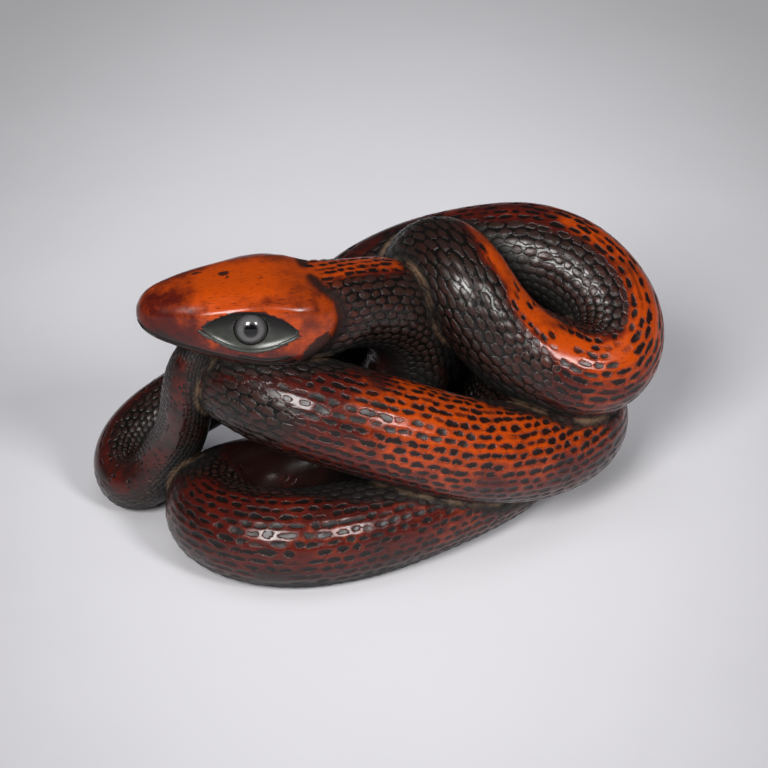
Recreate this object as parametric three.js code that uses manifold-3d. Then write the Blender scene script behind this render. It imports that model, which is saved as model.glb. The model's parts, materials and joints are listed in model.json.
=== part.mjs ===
// A wooden netsuke carved as one coiled snake, with two domed eyes let into its head.
// Millimetres, +Z up. The long side lies along X, the head points to -X, the origin is under the middle,
// and the lowest coils are worn flat at z = 0.
import * as THREE from "three";
import { mergeVertices } from "three/addons/utils/BufferGeometryUtils.js";
import Module from "manifold-3d";

const wasm = await Module();
wasm.setup();

// Driving dimensions of the body
const SIDES = 22; // facets round the body
const BODY_STEP = 2.4; // between rings along the body
const HEAD_STEP = 1.3; // between rings along the head and neck
const SAMPLE = 0.25; // between the samples of the route
const SOFTEN = 1.5; // how far along the route each bend is eased
const EASE_CUT = 4; // widths of the easing curve at which it is cut off
const SPAN_PARTS = 40; // length measurements between two points of the route
const TANGENT_STEP = 0.3; // either side of a section, to measure direction and bend
const BEND_FILL = 0.9; // share of a bend's own radius that the body fills on its inner side
const LIMIT_POWER = 8; // how suddenly that limit takes over

// Driving dimensions of the head
const EYE_FROM_SNOUT = 10.5;
const EYE_ANGLE = 80; // degrees from the top of the head
const EYE_TILT = 0.12; // how far the eye looks up
const EYE_RADIUS = 1.6;
const EYE_RISE = 0.25; // top of the dome above the skin
const EYE_SEAT = 0.9; // floor of the socket under the skin
const EYE_PLUG = 1.9; // foot of the eye under the skin
const EYE_GAP = 0.3; // room round the eye in its drilled seat
const EYE_SIDES = 20;
const DOME_STEPS = 6;
const CHEEK_STEP = 2; // either side of the eye, to measure the slope of the cheek
const SOCKET_LENGTH = 14;
const SOCKET_HEIGHT = 4.3;
const SOCKET_SIDES = 24;
const LIP_STATIONS = [15.6, 12, 8.5, 5.5, 3, 1.4, 0.5]; // from the snout, starting at the mouth's corner
const LIP_ANGLE = 122; // degrees from the top of the head
const LIP_DROP = 0.35; // below the tip of the snout
const LIP_CUT = 0.3; // radius of the line between the lips
const LIP_STEPS = 40;

const GROUND_SPAN = 100;
const GROUND_DEPTH = 20;

// The head: distance from the snout, half width, half height, and squareness of the section (2 is round).
const HEAD = [
  [0, 0.8, 0.7, 2.2],
  [0.5, 1.9, 1.6, 2.3],
  [1.3, 2.6, 2.3, 2.5],
  [2.6, 3.2, 2.8, 2.7],
  [4.6, 3.8, 3.3, 2.9],
  [7.4, 4.6, 3.9, 3.1],
  [10.3, 5.2, 4.4, 3.3],
  [13, 5.5, 4.6, 3.4],
  [16, 5.4, 4.5, 3.2],
  [18.6, 4.9, 4.4, 2.6],
  [20.6, 4.4, 4.4, 2],
];

// The route of the body from snout to tail tip, coil by coil. Each point has its place, the body's radius
// there, and the way the belly faces.
const COILS = {
  head_and_neck: [
    [-25.7, 1.0, 27.0, 1.0, 0.0, 0.1, -1.0],
    [-23.7, 0.1, 27.1, 3.0, 0.0, 0.1, -1.0],
    [-20.2, -1.1, 27.0, 4.0, 0.0, 0.1, -1.0],
    [-15.3, -2.7, 26.7, 5.1, 0.0, 0.1, -1.0],
    [-10.3, -3.6, 26.1, 5.0, 0.0, 0.1, -1.0],
    [-5.4, -3.1, 25.5, 4.4, -0.1, 0.0, -1.0],
    [-1.2, -2.2, 24.3, 4.6, -0.5, -0.1, -0.9],
    [2.2, -1.0, 21.0, 4.6, -0.8, -0.3, -0.5],
  ],
  dive_under: [
    [3.3, -0.4, 16.5, 4.5, -0.9, -0.4, 0.0],
    [0.7, 0.2, 11.0, 4.4, -0.6, -0.8, 0.2],
    [-4.4, 1.0, 6.4, 4.3, -0.1, -1.0, -0.2],
    [-10.0, 2.1, 4.2, 4.2, -0.1, -0.8, -0.6],
    [-14.0, 2.6, 4.1, 4.2, 0.0, -0.6, -0.8],
  ],
  front_coil: [
    [-17.6, 1.5, 4.3, 4.3, 0.2, -0.4, -0.9],
    [-19.9, -1.4, 4.4, 4.4, 0.4, -0.1, -0.9],
    [-19.8, -5.1, 4.5, 4.6, 0.4, 0.1, -0.9],
    [-17.4, -8.3, 4.5, 4.9, 0.3, 0.3, -0.9],
    [-13.5, -10.6, 4.5, 5.0, 0.1, 0.4, -0.9],
    [-7.3, -11.2, 4.4, 5.0, 0.0, 0.4, -0.9],
    [0.6, -10.5, 4.5, 4.7, -0.1, 0.4, -0.9],
    [7.5, -8.8, 4.4, 4.4, -0.2, 0.4, -0.9],
  ],
  rise_inside: [
    [11.9, -6.4, 4.4, 4.4, -0.2, 0.5, -0.9],
    [15.1, -2.9, 4.4, 4.5, -0.4, 0.3, -0.9],
    [15.9, 1.8, 4.5, 4.6, -0.5, 0.0, -0.9],
    [13.6, 6.2, 4.7, 4.6, -0.5, -0.3, -0.8],
    [10.0, 8.3, 7.4, 4.6, -0.6, -0.5, -0.6],
    [8.1, 7.2, 12.0, 4.5, -0.7, -0.6, -0.3],
    [7.7, 5.2, 16.4, 4.5, -0.7, -0.6, -0.2],
    [6.8, 4.4, 20.4, 4.5, -0.7, -0.6, -0.3],
  ],
  fall_behind_neck: [
    [6.1, 3.0, 23.7, 4.6, -0.6, -0.7, -0.5],
    [6.4, 0.0, 26.3, 4.6, -0.6, -0.4, -0.8],
    [7.2, -3.4, 25.9, 4.6, -0.6, 0.2, -0.8],
    [8.3, -5.8, 23.0, 4.7, -0.6, 0.5, -0.6],
    [10.4, -7.4, 19.9, 4.8, -0.5, 0.5, -0.7],
    [13.6, -8.9, 17.6, 4.9, -0.2, 0.5, -0.8],
    [17.4, -10.2, 16.2, 5.0, 0.0, 0.6, -0.8],
  ],
  upper_ring: [
    [20.8, -9.7, 16.7, 5.1, 0.0, 0.7, -0.7],
    [22.5, -7.6, 18.8, 5.1, -0.1, 0.7, -0.7],
    [22.2, -4.8, 21.3, 5.0, -0.2, 0.6, -0.8],
    [20.2, -1.9, 23.3, 5.1, -0.1, 0.4, -0.9],
    [17.0, 0.8, 24.5, 5.1, 0.1, 0.3, -1.0],
    [12.7, 3.6, 24.0, 4.9, 0.3, 0.2, -0.9],
    [8.2, 6.1, 22.7, 4.7, 0.3, 0.1, -0.9],
  ],
  rear_coil: [
    [4.2, 8.1, 20.6, 4.7, 0.6, -0.2, -0.8],
    [0.9, 9.9, 17.6, 4.7, 0.6, -0.6, -0.5],
    [-0.8, 11.5, 13.4, 4.7, 0.3, -0.9, -0.3],
    [1.2, 12.6, 9.7, 4.7, -0.2, -0.9, -0.4],
    [5.8, 12.8, 8.3, 4.8, -0.3, -0.7, -0.7],
    [11.0, 11.9, 8.4, 4.8, -0.3, -0.5, -0.8],
    [15.8, 9.2, 8.6, 4.9, -0.3, -0.4, -0.9],
    [19.2, 5.0, 8.4, 4.9, -0.3, -0.3, -0.9],
  ],
  broad_coil: [
    [20.5, 0.1, 8.0, 4.9, -0.3, -0.2, -0.9],
    [20.2, -4.6, 8.0, 5.0, -0.3, 0.0, -0.9],
    [17.7, -8.5, 8.3, 5.0, -0.1, 0.2, -1.0],
    [12.5, -10.8, 8.6, 5.1, 0.1, 0.3, -0.9],
    [5.4, -12.1, 10.8, 5.2, 0.2, 0.4, -0.9],
    [-1.9, -11.2, 13.8, 5.3, 0.2, 0.4, -0.9],
    [-8.0, -9.1, 16.3, 5.3, 0.2, 0.4, -0.9],
    [-13.0, -5.7, 17.7, 5.2, 0.2, 0.3, -0.9],
    [-15.7, -1.8, 18.4, 4.9, 0.3, 0.1, -1.0],
  ],
  turn_behind_head: [
    [-16.3, 2.6, 18.4, 4.6, 0.3, -0.2, -0.9],
    [-14.3, 6.8, 16.2, 4.3, 0.1, -0.6, -0.7],
    [-13.0, 10.1, 12.8, 4.0, 0.1, -0.8, -0.6],
    [-13.8, 12.5, 9.6, 3.9, 0.3, -0.7, -0.7],
    [-16.4, 13.8, 7.6, 3.8, 0.3, -0.5, -0.8],
    [-19.9, 13.8, 6.1, 3.6, 0.5, -0.4, -0.8],
    [-22.9, 12.8, 4.4, 3.4, 0.7, -0.2, -0.7],
  ],
  tail: [
    [-24.5, 10.5, 3.0, 3.1, 0.8, 0.0, -0.5],
    [-23.9, 8.0, 3.0, 3.0, 0.8, 0.3, -0.5],
    [-22.2, 6.6, 4.8, 2.9, 0.9, 0.4, -0.4],
    [-20.9, 5.3, 8.0, 2.8, 0.9, 0.4, 0.0],
    [-20.3, 3.4, 11.7, 2.7, 0.8, 0.5, 0.2],
    [-20.6, 1.4, 15.8, 2.6, 0.7, 0.7, 0.3],
    [-20.8, 0.3, 19.4, 2.4, 0.8, 0.6, 0.2],
    [-19.7, -0.2, 22.1, 2.1, 0.8, 0.3, -0.6],
    [-17.3, -0.3, 23.7, 1.6, 0.4, 0.2, -0.9],
    [-14.6, 0.0, 24.4, 0.9, 0.2, 0.1, -1.0],
  ],
};

const points = Object.values(COILS).flat();
const spans = points.length - 1;
const route = new THREE.CatmullRomCurve3(
  points.map(([x, y, z]) => new THREE.Vector3(x, y, z)),
  false,
  "centripetal",
);
route.arcLengthDivisions = spans * SPAN_PARTS;
const lengths = route.getLengths();
const routeLength = route.getLength();

// Value number `column` of a list at `place` in its first column, on straight lines between rows.
function along(list, place, column) {
  const next = Math.max(1, list.findIndex((row) => row[0] >= place));
  const [a, b] = [list[next - 1], list[next]];
  return THREE.MathUtils.mapLinear(place, a[0], b[0], a[column], b[column]);
}

// The route's own place, section and belly at a distance from the snout.
function rawAt(distance) {
  const share = distance / routeLength;
  const span = route.getUtoTmapping(share) * spans;
  const first = Math.min(Math.floor(span), spans - 1);
  const mix = (column) => THREE.MathUtils.lerp(points[first][column], points[first + 1][column], span - first);
  const onHead = distance < HEAD.at(-1)[0];
  return {
    distance,
    place: route.getPointAt(share),
    belly: new THREE.Vector3(mix(4), mix(5), mix(6)),
    halfWidth: onHead ? along(HEAD, distance, 1) : mix(3),
    halfHeight: onHead ? along(HEAD, distance, 2) : mix(3),
    squareness: onHead ? along(HEAD, distance, 3) : 2,
  };
}

const samples = [];
for (let d = 0; d < routeLength; d += SAMPLE) samples.push(rawAt(d));

// The route eased by a bell-shaped average, narrower towards its two ends.
function easedAt(distance) {
  const reach = Math.min(SOFTEN, distance / 2, (routeLength - distance) / 2);
  if (reach < SAMPLE) return rawAt(distance);
  const eased = { place: new THREE.Vector3(), belly: new THREE.Vector3(), halfWidth: 0, halfHeight: 0, squareness: 0 };
  let total = 0;
  for (const sample of samples) {
    const away = (sample.distance - distance) / reach;
    if (Math.abs(away) > EASE_CUT) continue;
    const weight = Math.exp(-0.5 * away * away);
    total += weight;
    eased.place.addScaledVector(sample.place, weight);
    eased.belly.addScaledVector(sample.belly, weight);
    eased.halfWidth += weight * sample.halfWidth;
    eased.halfHeight += weight * sample.halfHeight;
    eased.squareness += weight * sample.squareness;
  }
  eased.place.divideScalar(total);
  eased.halfWidth /= total;
  eased.halfHeight /= total;
  eased.squareness /= total;
  return eased;
}

// A cross-section's frame: `up` is the back of the snake, `right` its right side, `along` runs to the tail.
function sectionAt(distance) {
  const d = THREE.MathUtils.clamp(distance, 0, routeLength);
  const section = easedAt(d);
  const before = easedAt(Math.max(0, d - TANGENT_STEP)).place;
  const after = easedAt(Math.min(routeLength, d + TANGENT_STEP)).place;
  section.along = after.clone().sub(before).normalize();
  section.bend = after.clone().add(before).addScaledVector(section.place, -2).divideScalar(TANGENT_STEP ** 2);
  section.up = section.belly.clone().negate();
  section.up.addScaledVector(section.along, -section.up.dot(section.along)).normalize();
  section.right = section.up.clone().cross(section.along);
  return section;
}

// A point of the skin at an angle from the back towards the snake's right side.
function skinPoint(section, angle) {
  const [c, s] = [Math.cos(angle), Math.sin(angle)];
  const n = section.squareness;
  let reach = (Math.abs(c / section.halfHeight) ** n + Math.abs(s / section.halfWidth) ** n) ** (-1 / n);
  const outward = section.up.clone().multiplyScalar(c).addScaledVector(section.right, s);
  const inward = section.bend.dot(outward);
  if (inward > 0) reach = (reach ** -LIMIT_POWER + (BEND_FILL / inward) ** -LIMIT_POWER) ** (-1 / LIMIT_POWER);
  return section.place.clone().addScaledVector(outward, reach);
}

// A closed geometry as a solid.
function solidOf(geometry) {
  const bare = geometry.clone();
  bare.deleteAttribute("normal");
  bare.deleteAttribute("uv");
  const merged = mergeVertices(bare, 1e-4);
  return new wasm.Manifold(
    new wasm.Mesh({
      numProp: 3,
      vertProperties: merged.attributes.position.array,
      triVerts: new Uint32Array(merged.index.array),
    }),
  );
}

function geometryOf(solid) {
  const mesh = solid.getMesh();
  const geometry = new THREE.BufferGeometry();
  geometry.setAttribute("position", new THREE.BufferAttribute(mesh.vertProperties, 3));
  geometry.setIndex(new THREE.BufferAttribute(mesh.triVerts, 1));
  geometry.computeVertexNormals();
  return geometry;
}

// One stretch of the body: a straight cylinder bent along the route.
function stretch(start, end, step) {
  const rings = Math.round((end - start) / step);
  const geometry = new THREE.CylinderGeometry(1, 1, 1, SIDES, rings);
  const position = geometry.attributes.position;
  const sections = Array.from({ length: rings + 1 }, (_, i) => sectionAt(start + ((end - start) * i) / rings));
  for (let i = 0; i < position.count; i++) {
    const section = sections[Math.round((0.5 - position.getY(i)) * rings)];
    const [x, z] = [position.getX(i), position.getZ(i)];
    const point = Math.hypot(x, z) < 0.5 ? section.place : skinPoint(section, Math.atan2(x, z));
    position.setXYZ(i, point.x, point.y, point.z);
  }
  return solidOf(geometry);
}

// The frame of an eye on the skin: x towards the snout, y up the cheek, z out of the head.
function eyeFrame(side) {
  const section = sectionAt(EYE_FROM_SNOUT);
  const angle = side * THREE.MathUtils.degToRad(EYE_ANGLE);
  const ahead = skinPoint(sectionAt(EYE_FROM_SNOUT - CHEEK_STEP), angle);
  const behind = skinPoint(sectionAt(EYE_FROM_SNOUT + CHEEK_STEP), angle);
  const forward = ahead.sub(behind).normalize();
  const outward = section.right.clone().multiplyScalar(side).addScaledVector(section.up, EYE_TILT);
  outward.addScaledVector(forward, -outward.dot(forward)).normalize();
  const cheek = outward.clone().cross(forward);
  const frame = new THREE.Matrix4().makeBasis(forward, cheek, outward);
  return frame.setPosition(skinPoint(section, angle));
}

// The almond hollow round an eye and the drilled seat in its floor.
function socketCutter(side) {
  const almond = new THREE.SphereGeometry(1, SOCKET_SIDES, SOCKET_SIDES / 2);
  almond.scale(SOCKET_LENGTH / 2, SOCKET_HEIGHT / 2, EYE_SEAT);
  const depth = EYE_PLUG + EYE_GAP;
  const seat = new THREE.CylinderGeometry(EYE_RADIUS + EYE_GAP, EYE_RADIUS + EYE_GAP, depth, EYE_SIDES);
  seat.rotateX(Math.PI / 2).translate(0, 0, -depth / 2);
  const frame = eyeFrame(side);
  return solidOf(almond.applyMatrix4(frame)).add(solidOf(seat.applyMatrix4(frame)));
}

// An eye: a round plug with a domed top.
function eyeGeometry() {
  const dome = new THREE.EllipseCurve(0, -EYE_SEAT, EYE_RADIUS, EYE_SEAT + EYE_RISE, 0, Math.PI / 2);
  const profile = [new THREE.Vector2(0, -EYE_PLUG), new THREE.Vector2(EYE_RADIUS, -EYE_PLUG)];
  profile.push(...dome.getPoints(DOME_STEPS));
  profile.at(-1).x = 0;
  return new THREE.LatheGeometry(profile, EYE_SIDES).rotateX(Math.PI / 2);
}

// The line between the lips, from one corner of the mouth round the snout to the other.
function mouthCutter() {
  const angle = THREE.MathUtils.degToRad(LIP_ANGLE);
  const lip = (side) => LIP_STATIONS.map((distance) => skinPoint(sectionAt(distance), side * angle));
  const snout = sectionAt(0);
  const tip = snout.place.clone().addScaledVector(snout.up, -LIP_DROP);
  const path = new THREE.CatmullRomCurve3([...lip(1), tip, ...lip(-1).reverse()], false, "centripetal");
  const section = new THREE.Shape().absarc(0, 0, LIP_CUT, 0, 2 * Math.PI);
  const options = { steps: LIP_STEPS, curveSegments: 3, extrudePath: path, bevelEnabled: false };
  return solidOf(new THREE.ExtrudeGeometry(section, options));
}

// The carving: all stretches joined, sockets and mouth cut, and the underside worn flat.
function carving() {
  let first = 0;
  const stretches = Object.entries(COILS).map(([name, coil]) => {
    const last = Math.min(first + coil.length, spans);
    const step = name === "head_and_neck" ? HEAD_STEP : BODY_STEP;
    const body = stretch(lengths[first * SPAN_PARTS], lengths[last * SPAN_PARTS], step);
    first = last;
    return body;
  });
  const body = stretches.reduce((joined, part) => joined.add(part));
  const ground = new THREE.BoxGeometry(GROUND_SPAN, GROUND_SPAN, GROUND_DEPTH);
  ground.translate(0, 0, -GROUND_DEPTH / 2);
  const cutters = [socketCutter(1), socketCutter(-1), mouthCutter(), solidOf(ground)];
  const cut = cutters.reduce((left, cutter) => left.subtract(cutter), body);
  // Pockets that the coils close in on all sides stay solid, since no tool could have reached them.
  const shells = cut.decompose().filter((shell) => shell.volume() > 0);
  return shells.reduce((joined, shell) => joined.add(shell));
}

const stainedWood = new THREE.MeshStandardMaterial({ color: 0x7a2c14, roughness: 0.32, metalness: 0 });
const paleHorn = new THREE.MeshStandardMaterial({ color: 0x8a8a84, roughness: 0.12, metalness: 0 });

const netsuke = new THREE.Group();
const snake = new THREE.Mesh(geometryOf(carving()), stainedWood);
snake.name = "snake";
netsuke.add(snake);
for (const [name, side] of [["left_eye", -1], ["right_eye", 1]]) {
  const eye = new THREE.Mesh(eyeGeometry(), paleHorn);
  eye.name = name;
  eye.applyMatrix4(eyeFrame(side));
  netsuke.add(eye);
}

export default netsuke;
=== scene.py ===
"""A stained wooden netsuke carved as one coiled snake with inlaid eyes, on a plain studio stage."""
import json
import math

import bmesh
import bpy
import numpy as np
from mathutils import Matrix, Vector

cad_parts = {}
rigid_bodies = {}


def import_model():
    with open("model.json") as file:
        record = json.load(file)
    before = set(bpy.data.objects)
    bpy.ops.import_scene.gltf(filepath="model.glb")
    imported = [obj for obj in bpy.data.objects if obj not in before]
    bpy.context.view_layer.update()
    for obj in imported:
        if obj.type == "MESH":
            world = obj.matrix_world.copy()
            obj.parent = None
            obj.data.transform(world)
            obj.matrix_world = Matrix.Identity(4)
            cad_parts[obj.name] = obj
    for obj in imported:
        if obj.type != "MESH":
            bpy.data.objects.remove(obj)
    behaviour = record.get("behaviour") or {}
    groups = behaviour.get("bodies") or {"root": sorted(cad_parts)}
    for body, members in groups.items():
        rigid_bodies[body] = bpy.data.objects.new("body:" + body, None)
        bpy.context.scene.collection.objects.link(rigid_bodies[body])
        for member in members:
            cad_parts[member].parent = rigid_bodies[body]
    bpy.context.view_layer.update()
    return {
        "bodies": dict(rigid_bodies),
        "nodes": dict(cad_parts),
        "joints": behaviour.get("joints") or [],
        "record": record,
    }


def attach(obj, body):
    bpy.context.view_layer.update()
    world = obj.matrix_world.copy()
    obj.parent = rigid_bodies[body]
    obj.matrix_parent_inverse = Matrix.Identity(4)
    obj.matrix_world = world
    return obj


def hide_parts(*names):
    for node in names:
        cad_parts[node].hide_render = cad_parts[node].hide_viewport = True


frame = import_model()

bl_info = {
    "name": "Coiled snake netsuke",
    "version": (1, 0, 0),
    "blender": (4, 5, 0),
    "location": "3D Viewport > Sidebar > Netsuke",
    "description": "Builds a carved and stained coiled snake with inlaid eyes, its stage and its camera",
    "category": "Add Mesh",
}

MM = 0.001

# The head: distance from the snout, half width, half height, squareness of the section, in millimetres.
HEAD = np.array([
    (0, 0.8, 0.7, 2.2),
    (0.5, 1.9, 1.6, 2.3),
    (1.3, 2.6, 2.3, 2.5),
    (2.6, 3.2, 2.8, 2.7),
    (4.6, 3.8, 3.3, 2.9),
    (7.4, 4.6, 3.9, 3.1),
    (10.3, 5.2, 4.4, 3.3),
    (13, 5.5, 4.6, 3.4),
    (16, 5.4, 4.5, 3.2),
    (18.6, 4.9, 4.4, 2.6),
    (20.6, 4.4, 4.4, 2),
])

# The route of the body, coil by coil, in millimetres: place, radius, and the way the belly faces.
COILS = {
    "head_and_neck": [
        (-25.7, 1.0, 27.0, 1.0, 0.0, 0.1, -1.0),
        (-23.7, 0.1, 27.1, 3.0, 0.0, 0.1, -1.0),
        (-20.2, -1.1, 27.0, 4.0, 0.0, 0.1, -1.0),
        (-15.3, -2.7, 26.7, 5.1, 0.0, 0.1, -1.0),
        (-10.3, -3.6, 26.1, 5.0, 0.0, 0.1, -1.0),
        (-5.4, -3.1, 25.5, 4.4, -0.1, 0.0, -1.0),
        (-1.2, -2.2, 24.3, 4.6, -0.5, -0.1, -0.9),
        (2.2, -1.0, 21.0, 4.6, -0.8, -0.3, -0.5),
    ],
    "dive_under": [
        (3.3, -0.4, 16.5, 4.5, -0.9, -0.4, 0.0),
        (0.7, 0.2, 11.0, 4.4, -0.6, -0.8, 0.2),
        (-4.4, 1.0, 6.4, 4.3, -0.1, -1.0, -0.2),
        (-10.0, 2.1, 4.2, 4.2, -0.1, -0.8, -0.6),
        (-14.0, 2.6, 4.1, 4.2, 0.0, -0.6, -0.8),
    ],
    "front_coil": [
        (-17.6, 1.5, 4.3, 4.3, 0.2, -0.4, -0.9),
        (-19.9, -1.4, 4.4, 4.4, 0.4, -0.1, -0.9),
        (-19.8, -5.1, 4.5, 4.6, 0.4, 0.1, -0.9),
        (-17.4, -8.3, 4.5, 4.9, 0.3, 0.3, -0.9),
        (-13.5, -10.6, 4.5, 5.0, 0.1, 0.4, -0.9),
        (-7.3, -11.2, 4.4, 5.0, 0.0, 0.4, -0.9),
        (0.6, -10.5, 4.5, 4.7, -0.1, 0.4, -0.9),
        (7.5, -8.8, 4.4, 4.4, -0.2, 0.4, -0.9),
    ],
    "rise_inside": [
        (11.9, -6.4, 4.4, 4.4, -0.2, 0.5, -0.9),
        (15.1, -2.9, 4.4, 4.5, -0.4, 0.3, -0.9),
        (15.9, 1.8, 4.5, 4.6, -0.5, 0.0, -0.9),
        (13.6, 6.2, 4.7, 4.6, -0.5, -0.3, -0.8),
        (10.0, 8.3, 7.4, 4.6, -0.6, -0.5, -0.6),
        (8.1, 7.2, 12.0, 4.5, -0.7, -0.6, -0.3),
        (7.7, 5.2, 16.4, 4.5, -0.7, -0.6, -0.2),
        (6.8, 4.4, 20.4, 4.5, -0.7, -0.6, -0.3),
    ],
    "fall_behind_neck": [
        (6.1, 3.0, 23.7, 4.6, -0.6, -0.7, -0.5),
        (6.4, 0.0, 26.3, 4.6, -0.6, -0.4, -0.8),
        (7.2, -3.4, 25.9, 4.6, -0.6, 0.2, -0.8),
        (8.3, -5.8, 23.0, 4.7, -0.6, 0.5, -0.6),
        (10.4, -7.4, 19.9, 4.8, -0.5, 0.5, -0.7),
        (13.6, -8.9, 17.6, 4.9, -0.2, 0.5, -0.8),
        (17.4, -10.2, 16.2, 5.0, 0.0, 0.6, -0.8),
    ],
    "upper_ring": [
        (20.8, -9.7, 16.7, 5.1, 0.0, 0.7, -0.7),
        (22.5, -7.6, 18.8, 5.1, -0.1, 0.7, -0.7),
        (22.2, -4.8, 21.3, 5.0, -0.2, 0.6, -0.8),
        (20.2, -1.9, 23.3, 5.1, -0.1, 0.4, -0.9),
        (17.0, 0.8, 24.5, 5.1, 0.1, 0.3, -1.0),
        (12.7, 3.6, 24.0, 4.9, 0.3, 0.2, -0.9),
        (8.2, 6.1, 22.7, 4.7, 0.3, 0.1, -0.9),
    ],
    "rear_coil": [
        (4.2, 8.1, 20.6, 4.7, 0.6, -0.2, -0.8),
        (0.9, 9.9, 17.6, 4.7, 0.6, -0.6, -0.5),
        (-0.8, 11.5, 13.4, 4.7, 0.3, -0.9, -0.3),
        (1.2, 12.6, 9.7, 4.7, -0.2, -0.9, -0.4),
        (5.8, 12.8, 8.3, 4.8, -0.3, -0.7, -0.7),
        (11.0, 11.9, 8.4, 4.8, -0.3, -0.5, -0.8),
        (15.8, 9.2, 8.6, 4.9, -0.3, -0.4, -0.9),
        (19.2, 5.0, 8.4, 4.9, -0.3, -0.3, -0.9),
    ],
    "broad_coil": [
        (20.5, 0.1, 8.0, 4.9, -0.3, -0.2, -0.9),
        (20.2, -4.6, 8.0, 5.0, -0.3, 0.0, -0.9),
        (17.7, -8.5, 8.3, 5.0, -0.1, 0.2, -1.0),
        (12.5, -10.8, 8.6, 5.1, 0.1, 0.3, -0.9),
        (5.4, -12.1, 10.8, 5.2, 0.2, 0.4, -0.9),
        (-1.9, -11.2, 13.8, 5.3, 0.2, 0.4, -0.9),
        (-8.0, -9.1, 16.3, 5.3, 0.2, 0.4, -0.9),
        (-13.0, -5.7, 17.7, 5.2, 0.2, 0.3, -0.9),
        (-15.7, -1.8, 18.4, 4.9, 0.3, 0.1, -1.0),
    ],
    "turn_behind_head": [
        (-16.3, 2.6, 18.4, 4.6, 0.3, -0.2, -0.9),
        (-14.3, 6.8, 16.2, 4.3, 0.1, -0.6, -0.7),
        (-13.0, 10.1, 12.8, 4.0, 0.1, -0.8, -0.6),
        (-13.8, 12.5, 9.6, 3.9, 0.3, -0.7, -0.7),
        (-16.4, 13.8, 7.6, 3.8, 0.3, -0.5, -0.8),
        (-19.9, 13.8, 6.1, 3.6, 0.5, -0.4, -0.8),
        (-22.9, 12.8, 4.4, 3.4, 0.7, -0.2, -0.7),
    ],
    "tail": [
        (-24.5, 10.5, 3.0, 3.1, 0.8, 0.0, -0.5),
        (-23.9, 8.0, 3.0, 3.0, 0.8, 0.3, -0.5),
        (-22.2, 6.6, 4.8, 2.9, 0.9, 0.4, -0.4),
        (-20.9, 5.3, 8.0, 2.8, 0.9, 0.4, 0.0),
        (-20.3, 3.4, 11.7, 2.7, 0.8, 0.5, 0.2),
        (-20.6, 1.4, 15.8, 2.6, 0.7, 0.7, 0.3),
        (-20.8, 0.3, 19.4, 2.4, 0.8, 0.6, 0.2),
        (-19.7, -0.2, 22.1, 2.1, 0.8, 0.3, -0.6),
        (-17.3, -0.3, 23.7, 1.6, 0.4, 0.2, -0.9),
        (-14.6, 0.0, 24.4, 0.9, 0.2, 0.1, -1.0),
    ],
}
HIDDEN_COILS = ("dive_under", "rise_inside")

# How the stain and the carving change along the body: distance from the snout, then the value on the back,
# on the snake's left flank and on its right flank.
WARMTH = np.array([
    (0, 0.5, 0.42, 0.42),
    (4, 0.8, 0.58, 0.58),
    (8, 1.05, 0.8, 0.8),
    (16, 1.05, 0.8, 0.75),
    (20, 0.95, 0.35, 0.35),
    (26, 0.85, 0.15, 0.2),
    (31, 0.65, 0.08, 0.1),
    (36, 0.1, 0.05, 0.08),
    (62, 0.1, 0.06, 0.08),
    (74, 0.36, 0.33, 0.25),
    (88, 0.46, 0.46, 0.3),
    (105, 0.52, 0.6, 0.25),
    (112, 0.35, 0.3, 0.2),
    (142, 0.15, 0.05, 0.2),
    (147, 0.35, 0.08, 0.3),
    (151, 0.9, 0.12, 0.3),
    (158, 1.0, 0.15, 0.4),
    (164, 0.95, 0.5, 0.4),
    (171, 0.95, 0.75, 0.3),
    (179, 0.85, 0.85, 0.1),
    (185, 0.65, 0.8, 0.08),
    (192, 0.3, 0.5, 0.04),
    (199, 0.25, 0.15, 0.1),
    (212, 0.5, 0.4, 0.3),
    (240, 0.7, 0.55, 0.5),
    (252, 0.8, 0.75, 0.6),
    (262, 0.95, 0.9, 0.75),
    (272, 1.0, 0.8, 0.85),
    (279, 0.7, 0.4, 0.5),
    (285, 0.34, 0.15, 0.28),
    (292, 0.12, 0.1, 0.12),
    (300, 0.15, 0.1, 0.1),
    (330, 0.24, 0.15, 0.1),
    (355, 0.2, 0.15, 0.15),
])
PITTING = np.array([
    (0, 0.0, 0.0, 0.0),
    (14, 0.0, 0.0, 0.0),
    (16.5, 0.6, 1.1, 1.1),
    (22, 1.0, 1.1, 1.1),
    (34, 0.8, 0.9, 0.9),
    (42, 0.1, 0.15, 0.15),
    (60, 0.1, 0.15, 0.15),
    (68, 1.0, 1.0, 1.0),
    (105, 1.1, 1.0, 1.1),
    (142, 0.6, 1.1, 1.0),
    (150, 0.2, 1.1, 0.8),
    (158, 0.25, 1.1, 0.7),
    (168, 0.6, 1.0, 0.8),
    (180, 0.8, 1.0, 1.0),
    (195, 0.8, 1.0, 1.1),
    (201, 0.3, 0.4, 0.8),
    (212, 1.0, 1.0, 1.0),
    (300, 1.1, 1.1, 1.1),
    (318, 0.35, 0.5, 0.9),
    (355, 0.3, 0.5, 0.5),
])
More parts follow.
